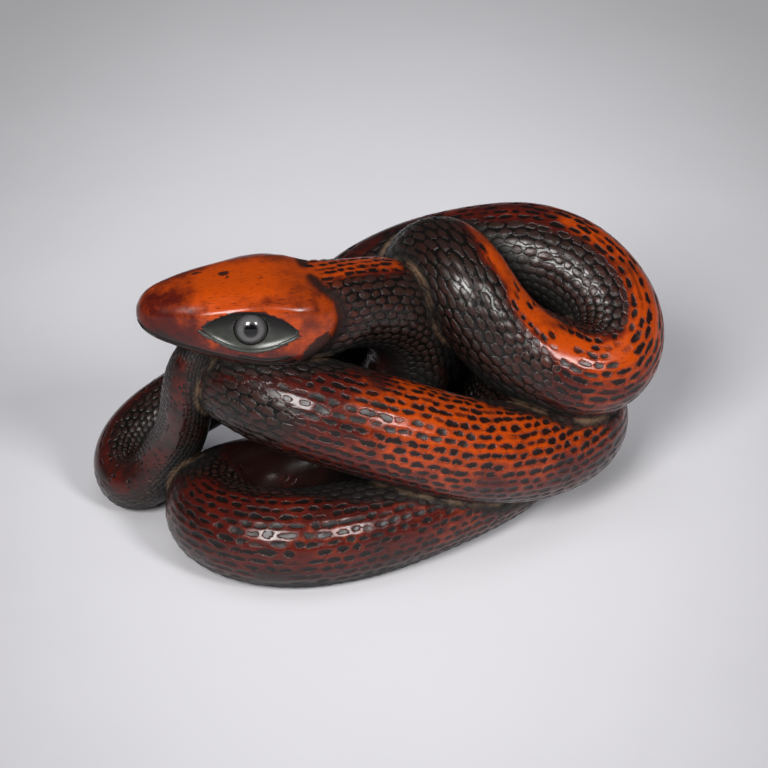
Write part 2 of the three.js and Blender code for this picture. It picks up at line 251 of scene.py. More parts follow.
BEADING = np.array([
    (0, 0.0, 0.0, 0.0),
    (16.5, 0.0, 0.9, 0.9),
    (22, 0.05, 0.9, 0.9),
    (30, 0.3, 1.0, 1.0),
    (42, 0.0, 0.0, 0.0),
    (60, 0.0, 0.0, 0.0),
    (67, 0.7, 0.7, 0.9),
    (73, 0.15, 0.2, 0.9),
    (105, 0.0, 0.1, 0.9),
    (140, 0.6, 1.0, 0.9),
    (148, 0.5, 1.0, 0.8),
    (153, 0.1, 1.0, 0.8),
    (159, 0.0, 1.0, 0.8),
    (164, 0.0, 0.35, 0.9),
    (172, 0.0, 0.2, 1.0),
    (195, 0.0, 0.1, 1.0),
    (212, 0.1, 0.3, 0.6),
    (242, 0.0, 0.2, 0.4),
    (272, 0.0, 0.3, 0.1),
    (280, 0.1, 0.6, 0.35),
    (286, 0.5, 0.9, 0.75),
    (300, 0.6, 0.9, 1.0),
    (318, 0.25, 0.7, 1.0),
    (355, 0.1, 0.8, 0.8),
])

# Where the back's ridge lies, in degrees from the middle of the back towards the snake's right side.
RIDGE = np.array([
    (0, 0),
    (140, 0),
    (162, -4),
    (174, -16),
    (198, -16),
    (210, 0),
    (250, 14),
    (285, 18),
    (300, 0),
])

# Lines cut into the head: distance from the snout and degrees from the top of the head, on the left side.
LIP_LINE = [(15.6, 119), (14, 122), (12, 121), (8.5, 118), (5.5, 117), (3, 116), (1.4, 112), (0.5, 106)]
JAW_GROOVES = [
    [(9.6, 111), (11.2, 113.5), (12.8, 112.5), (14.6, 107)],
    [(8.4, 117), (10.6, 119), (12.8, 118), (14.9, 112)],
]
# Where the head ends: degrees from the top, and the distance from the snout.
CHEEK_EDGE = ([0, 28, 40, 55, 75, 96, 115, 130], [15.2, 15.7, 16.3, 17.2, 17.7, 17.4, 15.9, 14.9])
# Dark nicks in the crown: distance from the snout, degrees from the top, half length, half width.
NICKS = [(5.75, 22, 0.55, 0.22), (8.3, 8, 0.6, 0.4), (8.6, -2, 0.3, 0.15), (11.6, -12, 0.25, 0.12)]


# The user's settings.


class SnakeCarvingSettings(bpy.types.PropertyGroup):
    """Sizes of the carving's relief."""

    rows_round: bpy.props.IntProperty(
        name="Rows of scales", description="Rows of scales round the body, an even number",
        default=34, min=12)
    scale_length: bpy.props.FloatProperty(
        name="Scale length", description="Length of a scale where the body is thickest", default=1.3 * MM,
        unit="LENGTH", subtype="DISTANCE")
    pit_depth: bpy.props.FloatProperty(
        name="Pit depth", description="Depth of the pits carved into the scales", default=0.13 * MM,
        unit="LENGTH", subtype="DISTANCE")
    groove_depth: bpy.props.FloatProperty(
        name="Groove depth", description="Depth of the grooves between raised scales", default=0.17 * MM,
        unit="LENGTH", subtype="DISTANCE")
    socket_length: bpy.props.FloatProperty(
        name="Socket length", description="Length of the almond hollow round an eye", default=11.2 * MM,
        unit="LENGTH", subtype="DISTANCE")
    socket_height: bpy.props.FloatProperty(
        name="Socket height", description="Height of the almond hollow round an eye", default=4.4 * MM,
        unit="LENGTH", subtype="DISTANCE")
    socket_depth: bpy.props.FloatProperty(
        name="Socket depth", description="Depth of the almond hollow round an eye", default=0.95 * MM,
        unit="LENGTH", subtype="DISTANCE")


class SnakeStainSettings(bpy.types.PropertyGroup):
    """Colours of the stain and lacquer."""

    orange: bpy.props.FloatVectorProperty(
        name="Worn orange", description="Stain where hands have polished it", default=(0.47, 0.056, 0.0015),
        subtype="COLOR", size=3, min=0, max=1)
    red: bpy.props.FloatVectorProperty(
        name="Deep red", description="Stain on the less worn coils", default=(0.075, 0.0065, 0.0035),
        subtype="COLOR", size=3, min=0, max=1)
    # Pit black is also the colour of the painted shade in creases, covered hollows, the socket's upper part
    # and the eye's seat.
    black: bpy.props.FloatVectorProperty(
        name="Pit black", description="Stain gathered in the pits and grooves",
        default=(0.0045, 0.0035, 0.003), subtype="COLOR", size=3, min=0, max=1)
    brown: bpy.props.FloatVectorProperty(
        name="Dark brown", description="Stain on the hidden and little touched coils",
        default=(0.016, 0.006, 0.005), subtype="COLOR", size=3, min=0, max=1)
    umber: bpy.props.FloatVectorProperty(
        name="Umber", description="Stain on raised scales in the hollows", default=(0.023, 0.0125, 0.0095),
        subtype="COLOR", size=3, min=0, max=1)
    dust: bpy.props.FloatVectorProperty(
        name="Dust", description="Old dust in the creases", default=(0.2, 0.125, 0.075),
        subtype="COLOR", size=3, min=0, max=1)


class EyeSettings(bpy.types.PropertyGroup):
    """Sizes and colours of the inlaid eyes."""

    radius: bpy.props.FloatProperty(
        name="Eye radius", description="Radius of an eye", default=1.6 * MM,
        unit="LENGTH", subtype="DISTANCE")
    pupil_radius: bpy.props.FloatProperty(
        name="Pupil radius", description="Radius of the dark pupil", default=0.74 * MM,
        unit="LENGTH", subtype="DISTANCE")
    iris: bpy.props.FloatVectorProperty(
        name="Iris", description="Colour of the horn round the pupil", default=(0.125, 0.121, 0.122),
        subtype="COLOR", size=3, min=0, max=1)


class StageSettings(bpy.types.PropertyGroup):
    """The studio round the netsuke."""

    floor_tint: bpy.props.FloatVectorProperty(
        name="Floor", description="Colour of the floor", default=(0.8, 0.795, 0.83),
        subtype="COLOR", size=3, min=0, max=1)
    camera_distance: bpy.props.FloatProperty(
        name="Camera distance", description="From the camera to the netsuke", default=400 * MM,
        unit="LENGTH", subtype="DISTANCE")
    focal_length: bpy.props.FloatProperty(
        name="Focal length", description="Focal length of the camera", default=187.5, unit="CAMERA")


# The route of the body.


EASE = 1.5
SAMPLE = 0.25
SPAN_PARTS = 40
TANGENT_STEP = 0.3
BEND_FILL = 0.9
LIMIT_POWER = 8


def smoothstep(low, high, value):
    t = np.clip((value - low) / (high - low), 0, 1)
    return t * t * (3 - 2 * t)


def spline(points):
    """A centripetal Catmull-Rom curve, and the place of each of its points in the list of points."""
    ends = [2 * points[0] - points[1], 2 * points[-1] - points[-2]]
    padded = np.vstack([ends[0], points, ends[1]])
    curve = []
    share = np.arange(SPAN_PARTS)[:, None] / SPAN_PARTS
    for p0, p1, p2, p3 in zip(padded, padded[1:], padded[2:], padded[3:]):
        d0, d1, d2 = (math.sqrt(np.linalg.norm(b - a)) for a, b in ((p0, p1), (p1, p2), (p2, p3)))
        t1 = ((p1 - p0) / d0 - (p2 - p0) / (d0 + d1) + (p2 - p1) / d1) * d1
        t2 = ((p2 - p1) / d1 - (p3 - p1) / (d1 + d2) + (p3 - p2) / d2) * d1
        cubic = 2 * p1 - 2 * p2 + t1 + t2
        curve.append(p1 + t1 * share + (-3 * p1 + 3 * p2 - 2 * t1 - t2) * share**2 + cubic * share**3)
    curve = np.vstack(curve + [points[-1:]])
    return curve, np.arange(len(curve)) / SPAN_PARTS


class Body:
    """The snake's route with its sections, measured in millimetres from the snout."""

    def __init__(self):
        points = np.array([point for coil in COILS.values() for point in coil])
        curve, spans = spline(points[:, :3])
        steps = np.linalg.norm(np.diff(curve, axis=0), axis=1)
        lengths = np.concatenate([[0], np.cumsum(steps)])
        self.length = lengths[-1]
        self.distances = np.arange(0, self.length, SAMPLE)
        place = np.stack([np.interp(self.distances, lengths, curve[:, k]) for k in range(3)], 1)
        span = np.interp(self.distances, lengths, spans)
        order = np.arange(len(points))
        radius, *belly = (np.interp(span, order, points[:, k]) for k in range(3, 7))
        on_head = self.distances < HEAD[-1, 0]
        shape = [np.where(on_head, np.interp(self.distances, HEAD[:, 0], HEAD[:, k]), rest)
                 for k, rest in ((1, radius), (2, radius), (3, 2.0))]
        self.raw = np.column_stack([place, *belly, *shape])
        self.ranges = {}
        first = 0
        for name, coil in COILS.items():
            last = min(first + len(coil), len(points) - 1)
            self.ranges[name] = (lengths[first * SPAN_PARTS], lengths[last * SPAN_PARTS])
            first = last

    def scale_phase(self, scale_length):
        """How many scales lie between the snout and each sample."""
        pitch = scale_length * np.clip(self.raw[:, 6:8].mean(1) / FULL_RADIUS, 0.5, 1.1)
        return np.concatenate([[0], np.cumsum(SAMPLE / pitch[:-1])])

    def eased(self, distance):
        reach = np.minimum(EASE, np.minimum(distance, self.length - distance) / 2)
        away = (self.distances - distance[:, None]) / np.maximum(reach, 1e-6)[:, None]
        weight = np.where(np.abs(away) > 4, 0, np.exp(-0.5 * away**2))
        total = weight.sum(1)
        mean = weight @ self.raw / np.where(total > 0, total, 1)[:, None]
        bare = np.stack([np.interp(distance, self.distances, column) for column in self.raw.T], 1)
        return np.where((reach < SAMPLE)[:, None], bare, mean)

    def sections(self, distance):
        d = np.clip(np.atleast_1d(np.asarray(distance, float)), 0, self.length)
        now = self.eased(d)
        before = self.eased(np.maximum(0, d - TANGENT_STEP))[:, :3]
        after = self.eased(np.minimum(self.length, d + TANGENT_STEP))[:, :3]
        along = after - before
        along /= np.linalg.norm(along, axis=1)[:, None]
        up = -now[:, 3:6]
        up = up - (up * along).sum(1)[:, None] * along
        up /= np.linalg.norm(up, axis=1)[:, None]
        return {
            "place": now[:, :3],
            "along": along,
            "up": up,
            "right": np.cross(up, along),
            "bend": (after + before - 2 * now[:, :3]) / TANGENT_STEP**2,
            "shape": now[:, 6:9],
        }

    def skin(self, sections, angle, lift=0.0):
        """Points of the skin: one row for each section, one column for each angle from the back."""
        angle = np.atleast_1d(angle)
        c, s = np.cos(angle), np.sin(angle)
        width, height, power = (column[:, None] for column in sections["shape"].T)
        reach = (np.abs(c / height) ** power + np.abs(s / width) ** power) ** (-1 / power)
        out = sections["up"][:, None] * c[:, None] + sections["right"][:, None] * s[:, None]
        inward = np.maximum((sections["bend"][:, None] * out).sum(-1), 1e-9)
        reach = (reach**-LIMIT_POWER + (BEND_FILL / inward) ** -LIMIT_POWER) ** (-1 / LIMIT_POWER)
        return sections["place"][:, None] + out * (reach + lift)[..., None]

    def spot(self, distance, degrees, lift=0.0):
        """One point of the skin."""
        return self.skin(self.sections(distance), np.radians(degrees), lift)[0, 0]

    def clearance(self, points, distance):
        """How far points at a distance along the body are from the body's other coils."""
        step = 4
        centres = self.raw[::step, :3]
        radii = self.raw[::step, 6:8].mean(1)
        places = self.distances[::step]
        nearest = np.full(len(points), 1e3)
        for start in range(0, len(points), 8000):
            part = slice(start, start + 8000)
            gap = np.linalg.norm(points[part, None] - centres[None], axis=2) - radii
            own = np.abs(distance[part, None] - places[None]) < 12
            nearest[part] = np.where(own, 1e3, gap).min(1)
        return nearest


def wander(*columns, seed=0.0):
    """A smooth wobble between -1 and 1 from some columns of coordinates."""
    total = 0
    for k, (rate, turn) in enumerate(((1.0, 0.3), (1.9, 1.7), (3.1, 2.9))):
        phase = sum(column * rate * math.cos(turn + 1.3 * i) for i, column in enumerate(columns))
        total = total + np.sin(phase + seed + k) / (k + 1)
    return total / 1.84


def by_side(table, distance, angle):
    """A value from one of the tables above, mixed between back and flanks."""
    back, left, right = (np.interp(distance, table[:, 0], table[:, k]) for k in (1, 2, 3))
    degrees = np.degrees(angle) - np.interp(distance, RIDGE[:, 0], RIDGE[:, 1])
    flank = smoothstep(6, 40, np.abs(degrees))
    return back + (np.where(degrees < 0, left, right) - back) * flank


def cell_random(column, row):
    """A number between 0 and 1 for a scale; the stain's nodes work out the same one."""
    value = np.sin(column * 1.7 + row * 2.9) * 43.0
    return value - np.floor(value)


def pit_shape(dx, dy, chance):
    """How far a point of a scale lies from the middle of its pit, and at 1 the pit's edge."""
    turn = chance * 7.0 - np.floor(chance * 7.0)
    along = (dx + 0.2 * (turn - 0.5)) * (3.3 - 1.4 * turn)
    across = (dy + 0.22 * (chance - 0.5)) * (2.7 + 1.5 * chance)
    return np.hypot(along, across)


def scale_drift(skin):
    """How far the scales stray along and round the body, in scales."""
    x, y, z = (skin[..., k] for k in range(3))
    wobble = 0.16 * wander(x * 1.3, y * 1.3, z * 1.3, seed=1.0)
    sway = 0.12 * wander(x * 1.1, y * 1.1, z * 1.1, seed=4.0)
    return wobble, sway


def scale_cells(u, v):
    """The scale that each point lies in: column, row, and the place in the cell, from -0.5 to 0.5."""
    row = np.floor(v + 0.5)
    shift = 0.5 * np.mod(row, 2)
    column = np.floor(u + shift + 0.5)
    return column, row, u + shift - column, v - row


# The carved body.


SIDES_PER_ROW = 3
RINGS_PER_SCALE = 4
FINENESS = 3.7
HIDDEN_FINENESS = 2
SHARP_ANGLE = math.radians(50)
FULL_RADIUS = 4.9
# The fourth layer holds both stain in creases and cuts and painted shade.
LAYERS = ("warmth", "pitting", "beading", "crevice_stain_and_shade", "dust", "socket")


def face_outward(shell):
    """Turns all faces of a closed shell outward, whatever it starts from."""
    bmesh.ops.recalc_face_normals(shell, faces=shell.faces)
    if shell.calc_volume(signed=True) < 0:
        bmesh.ops.reverse_faces(shell, faces=shell.faces)


def add_layers(mesh, values):
    """Gives a mesh layers of the stain, wear and painted shade, each with one value or a value for each
    point.
    """
    for label, value in values.items():
        attribute = mesh.attributes.new(label, "FLOAT", "POINT")
        attribute.data.foreach_set("value", np.array(np.broadcast_to(value, len(mesh.vertices)), np.float32))


def finished_mesh(shell, name):
    """The mesh of a finished shell, which is freed."""
    mesh = bpy.data.meshes.new(name)
    shell.to_mesh(mesh)
    shell.free()
    return mesh


def add_object(context, name, data):
    """A new object in the scene, at the origin."""
    holder = bpy.data.objects.new(name, data)
    context.scene.collection.objects.link(holder)
    return holder


def tube_mesh(name, positions, lattice, layers):
    """A closed tube: a grid bent round, its seam merged and its two ends capped, with outward faces.

    positions holds rings x sides points, lattice the UV of each point and of the seam's second side, and
    layers the named values of each point.
    """
    rings, sides = positions.shape[0] - 1, positions.shape[1]
    mesh = bpy.data.meshes.new(name)
    shell = bmesh.new()
    shell.loops.layers.uv.new("lattice")
    bmesh.ops.create_grid(shell, x_segments=rings, y_segments=sides, size=1, calc_uvs=True)
    shell.to_mesh(mesh)
    shell.free()
    flat = np.empty(len(mesh.vertices) * 3)
    mesh.vertices.foreach_get("co", flat)
    flat = flat.reshape(-1, 3)
    ring = np.rint((flat[:, 0] + 1) / 2 * rings).astype(int)
    side = np.rint((flat[:, 1] + 1) / 2 * sides).astype(int)
    mesh.vertices.foreach_set("co", positions[ring, side % sides].ravel())
    corners = np.empty(len(mesh.loops), int)
    mesh.loops.foreach_get("vertex_index", corners)
    mesh.uv_layers["lattice"].data.foreach_set("uv", lattice[ring[corners], side[corners]].ravel())
    values = {label: np.broadcast_to(layers.get(label, 0.0), positions.shape[:2]) for label in LAYERS}
    add_layers(mesh, {label: value[ring, side % sides] for label, value in values.items()})
    shell = bmesh.new()
    shell.from_mesh(mesh)
    bmesh.ops.remove_doubles(shell, verts=shell.verts, dist=1e-5)
    rims = [edge for edge in shell.edges if edge.is_boundary]
    caps = bmesh.ops.edgeloop_fill(shell, edges=rims)
    face_outward(shell)
    bmesh.ops.poke(shell, faces=caps["faces"])
    shell.to_mesh(mesh)
    shell.free()
    return mesh


def thin_tube(name, path, radius, layers, sides=10):
    """A thin round tube along a path, tapered to its ends."""
    curve, _ = spline(np.array(path))
    curve = curve[::6]
    along = np.gradient(curve, axis=0)
    along /= np.linalg.norm(along, axis=1)[:, None]
    across = np.cross(along, (0.0, 0.0, 1.0))
    across /= np.linalg.norm(across, axis=1)[:, None]
    over = np.cross(across, along)
    share = np.linspace(0, 1, len(curve))
    thick = radius * np.clip(4 * np.sqrt(share * (1 - share)), 0.15, 1)
    angle = np.arange(sides) / sides * 2 * math.pi
    wave = np.cos(angle)[None, :, None] * across[:, None] + np.sin(angle)[None, :, None] * over[:, None]
    positions = curve[:, None] + wave * thick[:, None, None]
    lattice = np.zeros((len(curve), sides + 1, 2))
    return tube_mesh(name, positions, lattice, layers)


def join_with(mesh, other, operation):
    """The exact union or difference of two closed meshes, with their layers carried over."""
    first = bpy.data.objects.new("first", mesh)
    second = bpy.data.objects.new("second", other)
    for each in (first, second):
        bpy.context.scene.collection.objects.link(each)
    modifier = first.modifiers.new("join", "BOOLEAN")
    modifier.operation = operation
    modifier.solver = "MANIFOLD"
    modifier.object = second
    graph = bpy.context.evaluated_depsgraph_get()
    result = bpy.data.meshes.new_from_object(first.evaluated_get(graph))
    for each in (first, second):
        bpy.data.objects.remove(each)
    bpy.data.meshes.remove(mesh)
    bpy.data.meshes.remove(other)
    return result


def head_relief(distance, angle):
    """The brow ridges, the step behind the cheeks, softer over the crown, a swell of the cheeks and a dip
    along the jaw, as a lift of the skin.
    """
    degrees = np.abs(np.degrees(angle))
    brow = np.interp(distance, [5.2, 8, 10.5, 12.5, 14.3], [67, 61, 56, 55, 60])
    fade = smoothstep(4.2, 6.2, distance) * smoothstep(16.0, 14.0, distance)
    ridge = 0.2 * fade * np.exp(-((degrees - brow + 2) / 5.5) ** 2)
    behind = distance - np.interp(degrees, *CHEEK_EDGE)
    strength = smoothstep(14, 66, degrees) * smoothstep(150, 120, degrees)
    top = smoothstep(-46, -18, np.degrees(angle)) * smoothstep(92, 60, np.degrees(angle))
    soft = 0.5 + 1.7 * top
    step = -0.55 * strength * smoothstep(-soft, soft, behind) * smoothstep(4.5, 0.8, behind)
    flank = (1 - top) * smoothstep(30, 60, degrees) * smoothstep(130, 100, degrees)
    cheek = 0.25 * flank * np.exp(-((behind + 1.6) / 1.5) ** 2)
    jaw = -0.12 * smoothstep(115, 121, degrees) * smoothstep(16, 13, distance) * smoothstep(0, 0.8, distance)
    return ridge + step + cheek + jaw


def stretch_layers(body, sizes, distance, phase, angle, skin):
    """The lift of the skin and the layers of stain, wear and painted shade over one stretch of the body."""
    d = np.broadcast_to(distance[:, None], skin.shape[:2])
    a = np.broadcast_to(angle[None], skin.shape[:2])
    gap = body.clearance(skin.reshape(-1, 3), d.ravel()).reshape(d.shape)
    x, y, z = skin[..., 0], skin[..., 1], skin[..., 2]
    rough = wander(x * 0.7, y * 0.7, z * 0.7)
    belly = smoothstep(math.radians(138), math.radians(156), np.abs(a))
    # Darker where other coils come close: stain gathered in the creases, and painted shade.
    crevice_stain_and_shade = smoothstep(1.7 + 0.5 * rough, 0.1, gap)
    # Painted shade under overhanging coils and just above the floor, where the room out from the skin is
    # closed in.
    outward = skin - body.sections(distance)["place"][:, None]
    outward /= np.linalg.norm(outward, axis=2)[..., None]
    room = body.clearance((skin + 3.0 * outward).reshape(-1, 3), d.ravel()).reshape(d.shape)
    hollow = smoothstep(2.4, -0.6, np.minimum(room, z + 3.0 * outward[..., 2] + 0.8))
    crevice_stain_and_shade = np.maximum(crevice_stain_and_shade, 0.9 * hollow)
    turned = np.abs(np.degrees(a))
    edge = np.interp(turned, *CHEEK_EDGE)
    behind_head = smoothstep(0.3, 1.8, d - edge)
    flank = smoothstep(0, 16, turned) * smoothstep(150, 110, turned)
    # A dark line just behind the cheek edge: stain and painted shadow under the step there.
    crevice_stain_and_shade = np.maximum(crevice_stain_and_shade, 0.95 * flank * np.exp(-((d - edge - 0.8) / (0.85 + 0.3 * rough)) ** 2))
    # A dark patch on the cheek behind the jaw.
    jaw = np.hypot((turned - 101) / 16, (d - 16.3) / 1.6) + 0.3 * wander(x * 2.6, y * 2.6, z * 2.6)
    crevice_stain_and_shade = np.maximum(crevice_stain_and_shade, smoothstep(1.15, 0.7, jaw))
    for place, degrees, length, width in NICKS:
        nick = np.hypot((d - place) / length, np.radians(np.degrees(a) - degrees) * 4.2 / width)
        crevice_stain_and_shade = np.maximum(crevice_stain_and_shade, smoothstep(1.3, 0.7, nick))
    beading = np.clip(by_side(BEADING, d, a) + 0.25 * rough + crevice_stain_and_shade * 0.8 - 0.1, 0, 1)
    beading = smoothstep(0.35, 0.65, beading)
    pitting = np.clip(by_side(PITTING, d, a) + 0.2 * wander(x * 0.5, y * 0.5, z * 0.5, seed=2.0), 0, 1)
    # Painted shade: less warmth, so a darker stain, on the lower flanks and close to the floor.
    shaded_side = smoothstep(np.where(d < 20, 80, 46), 130, turned)
    warmth = by_side(WARMTH, d, a) * (1 - 0.75 * shaded_side)
    low = smoothstep(4.5, 0.5, z)
    warmth = np.clip(warmth * (1 - 0.75 * low), 0, 1)
    wobble, sway = scale_drift(skin)
    u = phase[:, None] + wobble
    v = a / (2 * math.pi) * sizes.rows_round + sway
    column, row, dx, dy = scale_cells(u, v)
    chance = cell_random(column, row)
    present = smoothstep(0.0, 0.25, pitting - 0.85 * chance) * (1 - belly)
    pit = smoothstep(1.15, 0.35, pit_shape(dx, dy, chance))
    bead = 1 - np.sqrt(np.clip(1 - (dx * 1.95) ** 2 - (dy * 1.95) ** 2, 0, 1))
    scute = smoothstep(0.36, 0.5, np.abs(u - np.rint(u)))
    lift = -sizes.pit_depth / MM * pit * present * (1 - beading)
    lift -= sizes.groove_depth / MM * bead * beading * (1 - belly) * np.minimum(1, pitting + 0.4)
    lift -= 0.07 * scute * belly * smoothstep(20, 24, d)
    size = np.interp(d, body.distances, body.raw[:, 6]) / FULL_RADIUS
    lift *= np.clip(size, 0.3, 1) * behind_head
    lift += head_relief(d, a) + 0.05 * wander(x * 0.35, y * 0.35, z * 0.35, seed=3.0) * smoothstep(0, 20, d)
    layers = {
        "warmth": warmth,
        "pitting": pitting * (1 - belly) * behind_head,
        "beading": beading * (1 - belly) * behind_head,
        "crevice_stain_and_shade": crevice_stain_and_shade,
        "dust": smoothstep(0.55, 0.05, gap),
    }
    return lift, layers


def stretch_mesh(body, sizes, name, start, end, rings_per_scale):
    """One stretch of the body with its carved relief."""
    first, last = (round(np.interp(d, body.distances, body.phase) * RINGS_PER_SCALE) for d in (start, end))
    steps = max(1, round((last - first) / RINGS_PER_SCALE * rings_per_scale))
    phase = np.linspace(first, last, steps + 1) / RINGS_PER_SCALE
    distance = np.interp(phase, body.phase, body.distances)
    if first == 0:
        distance[0] = 0
    sides = sizes.rows_round * SIDES_PER_ROW
    angle = (np.arange(sides) / sides * 2 - 1) * math.pi
    sections = body.sections(distance)
    skin = body.skin(sections, angle)
    lift, layers = stretch_layers(body, sizes, distance, phase, angle, skin)
    positions = body.skin(sections, angle, lift)
    v = (np.arange(sides + 1) / sides * 2 - 1) * math.pi
    seam = np.concatenate([skin, skin[:, :1]], 1)
    wobble, sway = scale_drift(seam)
    lattice = np.stack([phase[:, None] + wobble, v / (2 * math.pi) * sizes.rows_round + sway], 2)
    return tube_mesh(name, positions, lattice, layers)


def eye_frame(body, side):
    """The place and axes of an eye: x towards the snout, y up the cheek, z out of the head."""
    distance, degrees, tilt, cheek_step = 10.5, 80 * side, 0.12, 2
    ahead, behind = (body.spot(distance + step, degrees) for step in (-cheek_step, cheek_step))
    forward = Vector(ahead - behind).normalized()
    section = body.sections(distance)
    outward = Vector(section["right"][0] * side + section["up"][0] * tilt)
    outward = (outward - forward * outward.dot(forward)).normalized()
    frame = Matrix((forward, outward.cross(forward), outward)).transposed().to_4x4()
    frame.translation = Vector(body.spot(distance, degrees))
    return frame


def socket_cutter(body, sizes, side):
    """The pointed almond hollow round an eye, from a ball drawn out to two points."""
    shell = bmesh.new()
    shell.loops.layers.uv.new("lattice")
    bmesh.ops.create_uvsphere(shell, u_segments=64, v_segments=32, radius=1)
    half = Vector((sizes.socket_length / 2, sizes.socket_height / 2, sizes.socket_depth)) / MM
    for vertex in shell.verts:
        x, y, z = vertex.co
        pinch = max(0.0, 1 - x * x) ** 0.7
        vertex.co = Vector((x * half.x, y * pinch * half.y, z * half.z))
    bmesh.ops.remove_doubles(shell, verts=shell.verts, dist=1e-4)
    spots = np.array([vertex.co for vertex in shell.verts])
    # Painted shade in the almond: black towards its upper edge and its two points, under the brow; its lower
    # part keeps the grey-green lining.
    shade = smoothstep(-0.55, 0.45, side * spots[:, 1] / half.y + 0.4 * (spots[:, 0] / half.x) ** 2)
    bmesh.ops.transform(shell, matrix=eye_frame(body, side), verts=shell.verts)
    face_outward(shell)
    mesh = finished_mesh(shell, "socket")
    add_layers(mesh, dict.fromkeys(LAYERS, 0.0) | {"crevice_stain_and_shade": shade, "socket": 1.0})
    return mesh


def seat_cutter(body, radius, side):
    """The drilled seat that an eye is let into."""
    shell = bmesh.new()
    bmesh.ops.create_cone(shell, cap_ends=True, segments=48, radius1=radius, radius2=radius, depth=2.2)
    bmesh.ops.translate(shell, vec=(0, 0, -1.1), verts=shell.verts)
    bmesh.ops.transform(shell, matrix=eye_frame(body, side), verts=shell.verts)
    mesh = finished_mesh(shell, "seat")
    # The seat's walls are painted black: painted shade in the narrow gap round the eye.
    add_layers(mesh, {"crevice_stain_and_shade": 1.0, "socket": 1.0})
    return mesh


def lip_path(body):
    """The line between the lips, from one corner of the mouth round the snout to the other."""
    left = [body.spot(d, -degrees, 0.05) for d, degrees in LIP_LINE]
    right = [body.spot(d, degrees, 0.05) for d, degrees in reversed(LIP_LINE)]
    snout = body.sections(0)
    tip = snout["place"][0] - 0.2 * snout["up"][0] - 0.1 * snout["along"][0]
    return left + [tip] + right


def rim_path(body, sizes, side):
    """The lower edge of an eye's almond, a little proud of the cheek."""
    frame = eye_frame(body, side)
    half_length, half_height = sizes.socket_length / 2 / MM, sizes.socket_height / 2 / MM
    path = []
    for share in np.linspace(-0.9, 0.9, 13):
        y = -side * half_height * (1 - share * share) ** 1.2
        spot = frame @ Vector((share * half_length, y, 0))
        path.append(onto_skin(body, spot, 0.02))
    return path


def onto_skin(body, spot, lift):
    """The point of the head's skin straight out from its middle line through a spot."""
    spot = np.array(spot)
    near = np.linalg.norm(body.raw[:80, :3] - spot, axis=1).argmin()
    for _ in range(3):
        section = body.sections(body.distances[near])
        slip = (spot - section["place"][0]) @ section["along"][0]
        near = int(np.clip(near + round(slip / SAMPLE), 0, 90))
    section = body.sections(body.distances[near])
    away = spot - section["place"][0]
    angle = math.atan2(away @ section["right"][0], away @ section["up"][0])
    lifted = lift + head_relief(np.array(body.distances[near]), np.array(angle))
    return body.skin(section, angle, lifted)[0, 0]


def without_hidden_shells(mesh):
    """Deletes shells that face inwards, the pockets that coils close in on all sides."""
    shell = bmesh.new()
    shell.from_mesh(mesh)
    seen = set()
    doomed = []
    for seed in shell.verts:
        if seed in seen:
            continue
        island, edge = [seed], [seed]
        seen.add(seed)
        while edge:
            for link in edge.pop().link_edges:
                for vertex in link.verts:
                    if vertex not in seen:
                        seen.add(vertex)
                        island.append(vertex)
                        edge.append(vertex)
        faces = {face for vertex in island for face in vertex.link_faces}
        volume = sum(face.calc_center_median().dot(face.normal) * face.calc_area() for face in faces)
        if volume < 0 or len(island) < 200:
            doomed.extend(island)
    bmesh.ops.delete(shell, geom=doomed, context="VERTS")
    shell.to_mesh(mesh)
    shell.free()


class NETSUKE_OT_carving(bpy.types.Operator):
    """Carve the coiled snake: join its coils, cut its sockets and mouth, and wear its underside flat."""

    bl_idname = "netsuke.carving"
    bl_label = "Carve the snake"

    def execute(self, context):
        sizes = context.scene.snake_carving
        body = Body()
        body.phase = body.scale_phase(sizes.scale_length / MM)
        carving = None
        for name, (start, end) in body.ranges.items():
            fineness = HIDDEN_FINENESS if name in HIDDEN_COILS else FINENESS
            coil = stretch_mesh(body, sizes, name, start, end, fineness)
            carving = coil if carving is None else join_with(carving, coil, "UNION")
        for side in (-1, 1):
            carving = join_with(carving, socket_cutter(body, sizes, side), "DIFFERENCE")
            rim = thin_tube("rim", rim_path(body, sizes, side), 0.17, {"socket": 1.0})
            carving = join_with(carving, rim, "UNION")
            # The walls of the jaw grooves and the lips are dark: stain in the cuts and painted shade.
            for groove in JAW_GROOVES:
                path = [body.spot(d, side * degrees, 0.03) for d, degrees in groove]
                carving = join_with(carving, thin_tube("groove", path, 0.17, {"crevice_stain_and_shade": 1.0}), "DIFFERENCE")
            seat = seat_cutter(body, context.scene.netsuke_eyes.radius / MM + 0.08, side)
            carving = join_with(carving, seat, "DIFFERENCE")
        carving = join_with(carving, thin_tube("lips", lip_path(body), 0.34, {"crevice_stain_and_shade": 1.0}), "DIFFERENCE")
        carving = join_with(carving, ground_cutter(), "DIFFERENCE")
        without_hidden_shells(carving)
        carving.transform(Matrix.Scale(MM, 4))
        carving.name = "snake_carving"
        piece = add_object(context, "snake_carving", carving)
        finish_surface(carving)
        carving.materials.clear()
        carving.materials.append(stained_wood(context.scene.snake_stain))
        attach(piece, "root")
        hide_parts("snake")
        return {"FINISHED"}


def ground_cutter():
    """A block under the ground, which wears the lowest coils flat."""
    shell = bmesh.new()
    bmesh.ops.create_cube(shell, size=1)
    bmesh.ops.scale(shell, vec=(100, 100, 20), verts=shell.verts)
    bmesh.ops.translate(shell, vec=(0, 0, -10), verts=shell.verts)
    return finished_mesh(shell, "ground")


def finish_surface(mesh):
    """Smooth shading, with the sharp edges of cuts and creases kept."""
    shell = bmesh.new()
    shell.from_mesh(mesh)
    for face in shell.faces:
        face.smooth = True
    for edge in shell.edges:
        edge.smooth = edge.calc_face_angle(0) < SHARP_ANGLE
    shell.to_mesh(mesh)
    shell.free()


# The finishes.


